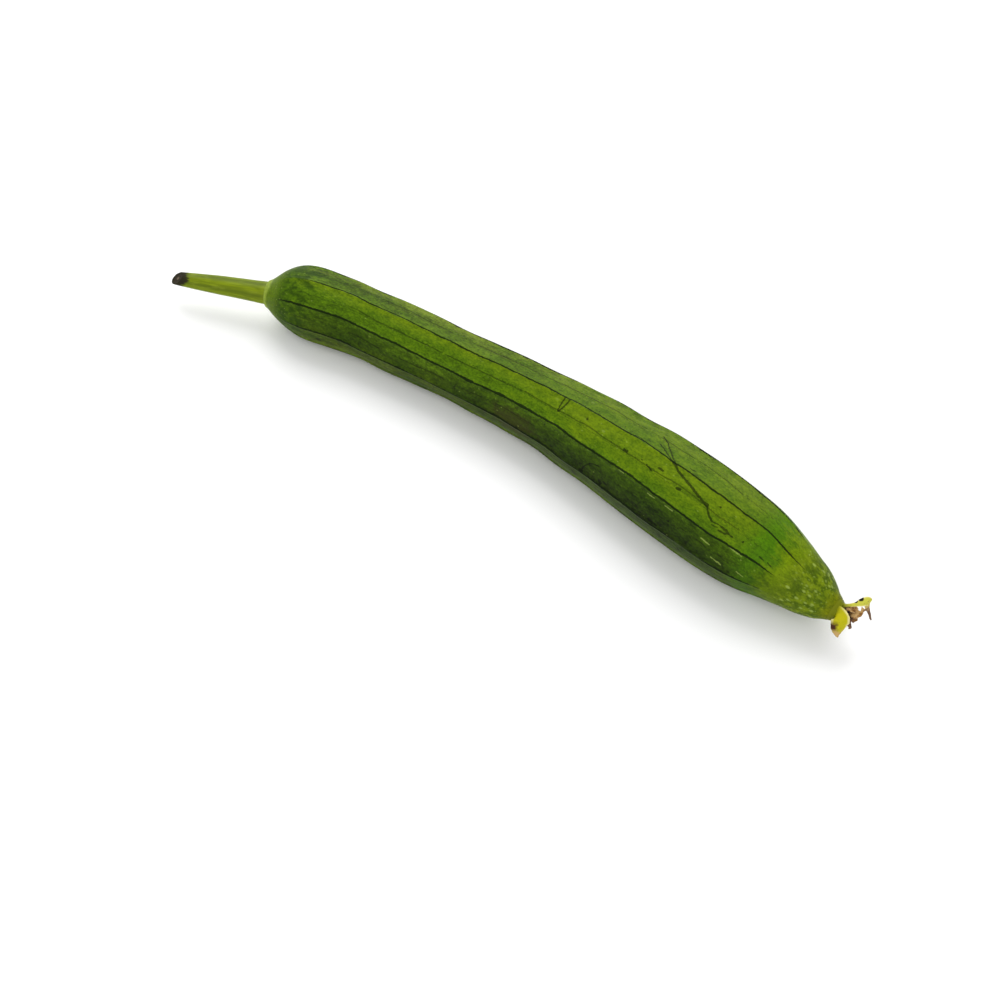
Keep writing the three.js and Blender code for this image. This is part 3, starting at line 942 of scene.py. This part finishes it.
def green_skin():
    skin = Finish("green skin")
    grown = skin.attribute("grown", "Vector")
    x = skin.part(grown, "X")
    green, mottle, grain = green_ground(skin, grown, x)
    roughen = (skin.noise(grown, 0.7, 2, 0.6).output("Color") - 0.5) * 1.2
    spot = skin.node("ShaderNodeUVMap", {"uv_map": "unrolled"}) + roughen
    stain = ((spot - STAIN_PLACE) / STAIN_SIZE).length() + (mottle - 0.5) * 1.6
    green = skin.mix(stain.rise(1.1, 0.4) * 0.6, green, STAIN_BROWN)
    dark, vein, line = dark_specks(skin, grown), veins(skin, grown, x), rib_lines(skin, grown)
    pale, scratch = pale_specks(skin, grown, x), drawn_marks(spot, DARK_MARKS)
    green = skin.mix(pale.larger(drawn_marks(spot, PALE_MARKS)) * 0.6, green, PALE_SPECK)
    green = green * (1 - vein * 0.5) * (1 - dark * 0.5) * (1 - scratch * 0.72)
    green = skin.mix(line * 0.92, green, LINE_GREEN)
    height = mottle * 0.6 + grain * 0.4 - line * 0.6
    shine = {
        "Base Color": green,
        "Roughness": 0.4 + grain * 0.1 + line * 0.2,
        "Specular IOR Level": 0.05,
        "Sheen Weight": 0.01,
        "Sheen Roughness": 0.25,
    }
    return skin.done(shine, height, 0.0003)


fruit = make_fruit(green_skin())

# %% [markdown]
# The stalk is a fleshy green stem with shallow furrows. It widens to its foot and was cut at a
# slant, and the cut has turned black, with the pith as a paler spot. It is turned like the fruit.
# Its far rim is carried inward over a thin bark edge and into a slightly sunken pith.

# %% The stalk
STALK_ROWS = 120
STALK_COLUMNS = 80
STALK_FURROWS = 5
FURROW_DEPTH = 0.07
FURROW_TURN = math.radians(23)
CUT_SLANT = 1.1
CUT_FACING = math.radians(111)
CUT_REACH = 20
STALK_LUMPS = 0.4
STALK_SEED = 3
STALK_FOOT = -137.2
STALK_FOOT_RADIUS = 6
# Distances in from the cut end, and radii: a rounded bark edge, a sunken ring and the pith
CUT_RINGS = [(-0.3, 3.25), (-0.35, 2.95), (0.0, 2.6), (0.5, 1.7), (0.2, 1.0), (0.2, 0.01)]
FOOT_RINGS = [(-137.0, 5.0), (-137.0, 0.01)]


def make_stalk(material):
    body = turned(STALK_RADIUS, STALK_TIP, STALK_FOOT, STALK_ROWS, STALK_COLUMNS)
    close_end(body, STALK_TIP, [(STALK_TIP + depth, radius) for depth, radius in CUT_RINGS])
    close_end(body, STALK_FOOT, FOOT_RINGS)
    x, radius, angle = straight_places(body)
    furrow = 0.5 - 0.5 * np.cos(STALK_FURROWS * (angle + FURROW_TURN))
    near_cut = np.maximum(0, 1 - (x - STALK_TIP) / CUT_REACH)
    slant = near_cut * CUT_SLANT * radius * np.cos(angle - CUT_FACING)
    swell = STALK_LUMPS * lumps(x, angle, STALK_SEED) * radius / STALK_FOOT_RADIUS
    reach = radius * (1 - FURROW_DEPTH * furrow) + swell
    note(body, "grown", np.stack([x, radius * np.cos(angle), radius * np.sin(angle)], -1))
    note(body, "furrow", furrow)
    note(body, "cut_depth", x - STALK_TIP)
    move_corners(body, bent(x, angle, reach, slant))
    return finished("stalk_stem", body, "stalk", material)


# %% [markdown]
# The stalk's finish follows its notes. Darker green lies along its fibres, and in the furrows as
# painted shade, and it pales towards its foot. Sap has dried black on the cut and bled into the
# bark behind it, which a ragged edge at a distance from the cut shows.

# %% The stalk's finish
STALK_GREEN = display(118, 134, 8)
STALK_SHADE = display(78, 94, 2)
STALK_PALE = display(130, 144, 36)
CUT_BLACK = display(30, 22, 17)
CUT_BROWN = display(52, 40, 32)
PITH = display(96, 82, 66)
BLACK_LENGTH = 3.3


def stalk_skin():
    """Fleshy green with furrows darkened by painted shade, a black cut and a pale pith."""
    bark = Finish("stalk skin")
    grown = bark.attribute("grown", "Vector")
    depth = bark.attribute("cut_depth")
    fibres = bark.noise(grown * (0.08, 1.6, 1.6), 1, 3, 0.6)
    clouds = bark.noise(grown * (0.08, 0.3, 0.3), 1, 3, 0.6)
    green = bark.mix(fibres.rise(0.3, 0.7) * 0.7, STALK_GREEN, STALK_SHADE)
    # Painted shade: the furrows are darkened as shade in the creases
    green = bark.mix(bark.attribute("furrow").rise(0.45, 1) * 0.75, green, STALK_SHADE)
    green = bark.mix(clouds.rise(0.5, 0.75) * 0.5, green, STALK_PALE)
    green = bark.mix(depth.rise(43, 48) * 0.6, green, STALK_PALE)
    edge = depth + (fibres - 0.5) * 7 + (clouds - 0.5) * 5
    black = edge.rise(BLACK_LENGTH + 1.2, BLACK_LENGTH - 1.2)
    green = bark.mix(black * 0.95, green, CUT_BLACK)
    from_axis = (grown * (0.0, 1.0, 1.0)).length() + (clouds - 0.5) * 1.5
    face = depth.rise(0.9, 0.6)
    green = bark.mix(face * from_axis.between(1.5, 2.3, 0.3) * 0.6, green, CUT_BROWN)
    green = bark.mix(face * from_axis.rise(1.1, 0.6), green, PITH)
    shine = {"Base Color": green, "Roughness": 0.46 + black * 0.25, "Specular IOR Level": 0.12}
    return bark.done(shine, fibres * 0.5 + clouds * 0.3, 0.0003)


stalk = make_stalk(stalk_skin())

# %% [markdown]
# At the blossom end the flower's remains still hang. Its calyx is a short yellow collar with
# lobes: a broad fleshy one bent down over the near side, a long strap that folds over and dries
# to a point, and three short ones round the back. Each lobe starts as a flat grid. The grid is
# laid along a curve in space, cupped, waved and crumpled, and only then given its thickness.

# %% Blades
BLADE_STEPS = 34
BLADE_LANES = 12
TIP_THINNING = 0.6
COARSE_FOLDS = 0.4  # for each mm
FINE_FOLDS = 1.3  # for each mm
SEED_STEP = 31.7  # mm between the noise that two seeds read
RUFFLES_ALONG = 9
RUFFLES_ACROSS = 2.2
CALM_ROOT = 1 / 3  # the share of a blade over which its crumple sets in
# Blender draws its vector noise from the clock, so a seed makes the crumple repeat
NOISE_SEED = 1
noise.seed_set(NOISE_SEED)


def path_places(path, t):
    """Points on a smooth curve through a path, at shares t of its points."""
    steps = np.arange(len(path))
    return np.stack([through(list(zip(steps, column)), t * steps[-1]) for column in zip(*path)], -1)


def crumpled(places, coarse, fine, seed):
    """Places moved by two sizes of seeded noise."""
    moved = []
    for place in places:
        spot = Vector(place) + Vector((SEED_STEP * seed, 0, 0))
        large = noise.noise_vector(spot * COARSE_FOLDS) * coarse
        moved.append(large + noise.noise_vector(spot * FINE_FOLDS) * fine)
    return places + np.array(moved)


def thicken(sheet, thickness):
    """Gives an open sheet a second side, thinner towards its tip. Its corners move back along
    their own normals, which keeps a sharp crumple from throwing out a spike."""
    sheet.normal_update()
    along = sheet.verts.layers.float["along"]
    new = bmesh.ops.extrude_face_region(sheet, geom=sheet.faces[:], use_keep_orig=True)["geom"]
    for corner in new:
        if isinstance(corner, bmesh.types.BMVert):
            corner.co -= corner.normal * thickness * (1 - TIP_THINNING * corner[along] ** 2)
    bmesh.ops.recalc_face_normals(sheet, faces=sheet.faces[:])


def note_blade(body, number, along=0.0, lane=0.0):
    """The blade's number, and where each corner is along it and across it."""
    for name, values in (("along", along), ("lane", lane), ("number", float(number))):
        note(body, name, np.broadcast_to(values, len(body.verts)))


def blade(path, widths, root, tip, cup, number, thickness, wave=0.3, coarse=0.3, fine=0.15):
    """A thin leaf-like sheet along a path. Its number is also the seed of its crumple."""
    sheet = bmesh.new()
    bmesh.ops.create_grid(sheet, x_segments=BLADE_STEPS, y_segments=BLADE_LANES, size=1)
    flat = np.array([corner.co for corner in sheet.verts])
    t = (flat[:, 0] + 1) / 2
    lane = flat[:, 1]
    along = unit(path_places(path, t + 0.01) - path_places(path, t - 0.01))
    across = np.array(root) * (1 - t)[:, None] + np.array(tip) * t[:, None]
    across = unit(across - along * (across * along).sum(-1, keepdims=True))
    outward = np.cross(along, across)
    width = through([(i / (len(widths) - 1), w) for i, w in enumerate(widths)], t)
    ruffle = wave * t * lane ** 2 * np.sin(RUFFLES_ALONG * t + RUFFLES_ACROSS * lane + number)
    places = path_places(path, t) + across * (lane * width / 2)[:, None]
    places += outward * (ruffle - cup * lane ** 2)[:, None]
    amount = np.clip(t / CALM_ROOT, 0, 1)[:, None]
    places += (crumpled(places, coarse, fine, number) - places) * amount
    note_blade(sheet, number, t, lane)
    move_corners(sheet, places)
    thicken(sheet, thickness)
    return sheet


def joined(bodies):
    """Several bodies in one, with their notes."""
    whole = bmesh.new()
    for body in bodies:
        mesh = bpy.data.meshes.new("part")
        bmesh.ops.recalc_face_normals(body, faces=body.faces[:])
        body.to_mesh(mesh)
        body.free()
        whole.from_mesh(mesh)
        bpy.data.meshes.remove(mesh)
    return whole


print("each side of a blade has", BLADE_STEPS * BLADE_LANES, "faces")

# %% [markdown]
# The collar is turned like the fruit and sits on its blossom end. The lobes' paths are offsets in
# millimetres from that end. Each has its widths along the way, and the direction across it at its
# root and at its tip, which lets the strap turn over as it folds.

# %% The calyx
END_CENTRE, END_ALONG, END_SIDE, END_UP = cross_section(np.array(BLOSSOM_END))
COLLAR_RADIUS = [(0, 5.6), (0.9, 5.3), (1.7, 4.8), (2.6, 4.3)]
COLLAR_LENGTH = 2.6
LOBE_THICKNESS = 0.9
CALYX_LOBES = [
    dict(
        path=[
            (0.6, -2.8, 2.7), (3.2, -3.6, 3.2), (5.3, -4.8, 2.3),
            (6.0, -6.6, 0.7), (6.5, -8.0, -2.3), (6.8, -8.9, -5.5),
        ],
        widths=[5.2, 6.2, 7.2, 8.0, 5.6, 1.5], root=(-0.3, 0.6, 0.7), tip=(0.8, 0.55, -0.1), cup=0.9,
    ),
    dict(
        path=[
            (1.0, 0.8, 3.2), (3.8, 1.4, 3.7), (7.2, 3.1, 5.1), (9.7, 5.2, 6.3),
            (12.1, 7.2, 6.4), (12.1, 7.0, 3.0), (12.9, 7.3, -0.4), (14.6, 8.0, -6.0),
        ],
        widths=[3.4, 1.6, 1.7, 3.6, 3.9, 2.8, 1.6, 0.25],
        root=(-0.5, 0.6, 0.6), tip=(0.6, 0.75, 0.2), cup=0.3,
    ),
    dict(
        path=[(0.8, -3.0, -1.4), (2.8, -5.2, -2.8), (4.2, -6.6, -4.8)],
        widths=[3.6, 3.2, 1.3], root=(0, -0.4, 0.9), tip=(0.2, -0.6, 0.7), cup=0.4,
    ),
    dict(
        path=[(0.8, 0.6, -3.2), (2.8, 1.0, -5.4), (5.0, 0.6, -7.2)],
        widths=[3.6, 3.2, 1.3], root=(0, 1, 0), tip=(0, 1, 0.2), cup=0.4,
    ),
    dict(
        path=[(0.8, 3.4, -1.2), (2.6, 5.2, -2.6), (4.6, 6.6, -3.8)],
        widths=[3.6, 3.2, 1.3], root=(0, 0.2, 1), tip=(-0.3, 0.2, 1), cup=0.4,
    ),
]


def on_blossom_end(x, radius, angle):
    """Offsets from the blossom end's centre of a small body turned on its axis."""
    across = END_SIDE * np.cos(angle)[:, None] + END_UP * np.sin(angle)[:, None]
    return END_ALONG * x[:, None] + across * radius[:, None]


def collar():
    """The short cup that the lobes grow from, sunk a little into the fruit's end."""
    cup = turned(COLLAR_RADIUS, 0, COLLAR_LENGTH, 12, 60)
    close_end(cup, 0, [(-0.6, 5.2), (-0.6, 0.01)])
    close_end(cup, COLLAR_LENGTH, [(2.7, 3.9), (2.2, 3.4), (1.9, 0.01)])
    x, radius, angle = straight_places(cup)
    radius = radius * (1 + 0.04 * np.sin(5 * angle + 1) * x / COLLAR_LENGTH)
    note_blade(cup, 0)
    move_corners(cup, on_blossom_end(x, radius, angle))
    return cup


def make_calyx(material):
    lobes = [blade(**lobe, number=i, thickness=LOBE_THICKNESS) for i, lobe in enumerate(CALYX_LOBES, 1)]
    whole = joined([collar(), *lobes])
    bmesh.ops.translate(whole, vec=END_CENTRE, verts=whole.verts[:])
    return finished("calyx_lobes", whole, "calyx", material)


print("the longest lobe's path has", max(len(lobe["path"]) for lobe in CALYX_LOBES), "points")

# %% [markdown]
# The lobes are still fleshy at their roots, where olive turns to yellow, and have dried at their
# tips. Their pale edges, the bruise on the near lobe and the strap's black spots are all places
# along and across a blade, so the finish reads the notes that each blade carries.

# %% The calyx's finish
CALYX_YELLOW = display(172, 166, 8)
STRAP_YELLOW = display(186, 184, 66)
CALYX_PALE = display(220, 210, 140)
DRY_TAN = display(182, 150, 96)
DRY_BROWN = display(92, 66, 54)
BLACK_SPOT = display(24, 20, 14)
BRUISE = display(64, 34, 20)
NEAR_LOBE = 1
STRAP = 2
# Spots on the strap: share along it, place across it, size in mm
STRAP_SPOTS = [(0.42, 0.95, 1.2), (0.33, 0.8, 0.8)]
STRAP_LENGTH = 26
STRAP_HALF_WIDTH = 1.8


def spots_on_strap(along, lane):
    """Black spots near the strap's upper edge, measured along and across it."""
    spots = []
    for share, across, size in STRAP_SPOTS:
        from_along = (along - share) * (STRAP_LENGTH / size)
        from_across = (lane - across) * (STRAP_HALF_WIDTH / size)
        spots.append((from_along * from_along + from_across * from_across).rise(1.3, 0.6))
    return sum(spots)


def calyx_flesh():
    flesh = Finish("calyx flesh")
    place = flesh.node("ShaderNodeTexCoord").output("Object") * 1000
    along, lane, number = [flesh.attribute(name) for name in ("along", "lane", "number")]
    clouds = flesh.noise(place, 0.5, 3, 0.6)
    freckles = flesh.noise(place, 1.1, 2, 0.6)
    strap = number.equals(STRAP)
    short_lobes = number.rise(STRAP + 0.5, STRAP + 0.8)
    lobe_colour = flesh.mix(strap, CALYX_YELLOW, STRAP_YELLOW)
    colour = flesh.mix((along + (clouds - 0.5) * 0.2).rise(0.02, 0.3), NUB_OLIVE, lobe_colour)
    colour = flesh.mix(abs(lane).rise(0.66, 0.95) * along.rise(0.1, 0.3), colour, CALYX_PALE)
    dry = (along + strap * 0.12 + (clouds - 0.5) * 0.4).rise(0.72, 0.9)
    colour = flesh.mix(dry, colour, DRY_TAN)
    brown = (along + (clouds - 0.5) * 0.3).rise(0.7, 0.84) * strap + short_lobes * along.rise(0.2, 0.6)
    colour = flesh.mix(brown.smaller(1) * 0.9, colour, DRY_BROWN)
    colour = flesh.mix(freckles.rise(0.64, 0.7) * along.rise(0.3, 0.6) * 0.7, colour, DRY_BROWN)
    bruise = along.between(0.6, 0.79, 0.1) * (lane + (clouds - 0.5) * 1.8).rise(0.1, -0.6)
    colour = flesh.mix((bruise * number.equals(NEAR_LOBE) * 1.2).smaller(1), colour, BRUISE)
    colour = flesh.mix(spots_on_strap(along, lane) * strap, colour, BLACK_SPOT)
    shine = {"Base Color": colour, "Roughness": 0.5 + dry * 0.3, "Specular IOR Level": 0.1}
    return flesh.done(shine, clouds + freckles * 0.4, 0.0003)


calyx = make_calyx(calyx_flesh())

# %% [markdown]
# The petals have withered inside the calyx to thin brown paper. They are blades again, thinner
# and far more crumpled, round a small dried knot.

# %% The withered petals
DRIED_PETALS = [
    dict(
        path=[(3.0, 0.3, 1.2), (5.2, 1.3, 3.3), (7.4, 2.4, 3.6), (9.2, 4.2, 2.6)],
        widths=[2.4, 3.6, 3.8, 2.2], root=(0, 0.9, -0.4), tip=(-0.6, 0.8, 0.2), cup=0.7,
    ),
    dict(
        path=[(3.2, 0.0, -0.2), (6.6, 1.0, 0.1), (9.3, 2.1, 0.1), (10.8, 4.2, 0.5), (11.0, 6.2, 1.4)],
        widths=[2.2, 4.0, 4.8, 4.0, 1.8], root=(0, 0.6, 0.8), tip=(-0.4, 0.2, 0.9), cup=0.8,
    ),
    dict(
        path=[(3.2, -0.4, -0.4), (6.2, -0.8, -1.0), (8.4, -1.2, -2.8), (9.2, -1.6, -4.6)],
        widths=[2.0, 2.8, 2.8, 1.3], root=(0, 0.8, 0.6), tip=(0.6, 0.6, 0.3), cup=0.5,
    ),
    dict(
        path=[(3.2, 0.2, -0.6), (6.0, 1.9, -3.0), (8.0, 3.0, -4.2), (9.6, 3.8, -4.4)],
        widths=[2.0, 3.4, 3.6, 1.8], root=(0, 0.7, -0.7), tip=(0.3, 0.7, -0.6), cup=0.6,
    ),
]
FIRST_PETAL = 11
PETAL_THICKNESS = 0.35
KNOT_RADIUS = 1.7
KNOT_DISTANCE = 3.4
KNOT_SEED = 9


def knot():
    """The dried knot that the petals grow from."""
    ball = bmesh.new()
    bmesh.ops.create_icosphere(ball, subdivisions=4, radius=KNOT_RADIUS)
    places = np.array([corner.co for corner in ball.verts]) * (1.4, 1, 1) + END_ALONG * KNOT_DISTANCE
    note_blade(ball, 0)
    move_corners(ball, crumpled(places, 0.5, 0.3, KNOT_SEED))
    return ball


def make_petals(material):
    petals = [
        blade(**petal, number=i, thickness=PETAL_THICKNESS, wave=0.8, coarse=1.2, fine=0.3)
        for i, petal in enumerate(DRIED_PETALS, FIRST_PETAL)
    ]
    whole = joined([knot(), *petals])
    bmesh.ops.translate(whole, vec=END_CENTRE, verts=whole.verts[:])
    return finished("petals_dried", whole, "withered_petals", material)


print("there are", len(DRIED_PETALS), "dried petals round the knot")

# %% [markdown]
# Dried petals are tan in patches and golden brown in their fibres. Towards their roots, deep
# inside the calyx, and on the knot they are painted almost black as painted shade of the hollow.
# The one that hangs lowest has kept a dull purple.

# %% The petals' finish
PETAL_TAN = display(186, 152, 100)
PETAL_GOLD = display(150, 106, 40)
PETAL_BROWN = display(104, 72, 50)
PETAL_PAINTED_SHADE = display(34, 18, 14)
PETAL_PURPLE = display(84, 58, 54)
HANGING_PETAL = FIRST_PETAL + 2


def dried_petal():
    paper = Finish("dried petal")
    place = paper.node("ShaderNodeTexCoord").output("Object") * 1000
    along = paper.attribute("along")
    clouds = paper.noise(place, 0.3, 3, 0.6)
    fibres = paper.noise(place * (0.5, 1.8, 1.2), 1, 3, 0.6)
    colour = paper.mix(fibres.rise(0.42, 0.6), PETAL_BROWN, PETAL_GOLD)
    colour = paper.mix(clouds.rise(0.48, 0.58) * 0.85, colour, PETAL_TAN)
    # Painted shade: towards their roots the petals, and the whole knot, darken to almost black
    colour = paper.mix((along + (clouds - 0.5) * 0.8).rise(0.5, 0.2), colour, PETAL_PAINTED_SHADE)
    hanging = paper.attribute("number").equals(HANGING_PETAL)
    colour = paper.mix(hanging * along.rise(0.3, 0.6) * 0.8, colour, PETAL_PURPLE)
    inputs = {"Base Color": colour, "Roughness": 0.8, "Specular IOR Level": 0.2}
    return paper.done(inputs, clouds + fibres * 0.5, 0.0003)


petals = make_petals(dried_petal())

# %% [markdown]
# Last, the size of the dressed gourd is kept beside that of the plain solids, so that the two can
# be compared.

# %% Size and finish
boxes = {"plain": plain_box, "dressed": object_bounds()}
for name, (low, high) in boxes.items():
    print(name, "box:", [round(1000 * side, 1) for side in high - low], "mm")
